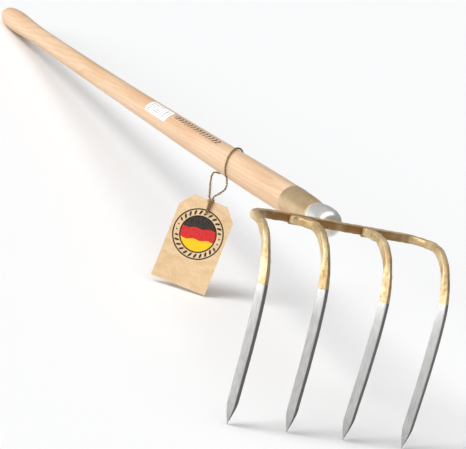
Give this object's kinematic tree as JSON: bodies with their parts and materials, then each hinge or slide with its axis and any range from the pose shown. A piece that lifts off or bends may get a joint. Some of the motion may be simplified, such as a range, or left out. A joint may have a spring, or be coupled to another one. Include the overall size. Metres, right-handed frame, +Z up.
{
  "type": "four-tined hooked fork",
  "caption": "Long ash-handled farm fork whose forged tines hook down from a crossbar, with a tapered ferrule, a domed cap and a card tag hung on twine.",
  "frame": {"origin": "middle of the tool's base, on the surface that its knob and its tine points rest on", "axes": "+X along the handle from the knob towards the head, +Y along the crossbar, +Z up, away from the tine points"},
  "size_m": [1.5226, 0.2232, 0.2118],
  "materials": {
    "ash_wood": "sanded, clear sealed ash",
    "gold_lacquer": "satin gold lacquer on drawn sheet steel",
    "forged_gold": "gold lacquer on forged steel, ground bare towards the points",
    "zinc": "zinc plated",
    "white_paper": "matt printed label",
    "kraft_card": "unbleached kraft card",
    "jute": "two-ply jute twine"
  },
  "bodies": {
    "fork": {"handle": "ash_wood", "ferrule": "gold_lacquer", "ferrule_cap": "zinc", "tang": "forged_gold", "crossbar_outer_tines": "forged_gold", "inner_tine_left": "forged_gold", "inner_tine_right": "forged_gold", "price_sticker": "white_paper"},
    "tag": {"hang_tag": "kraft_card", "twine_knot": "jute", "tag_twine": "jute"}
  },
  "joints": [
    {"name": "tag_swing", "type": "hinge", "parent": "fork", "child": "tag", "pos_m": [0.31733, 0.00371, 0.14959], "axis": [0.9897, -0.014, 0.1426], "range_deg": [-75, 75]}
  ]
}
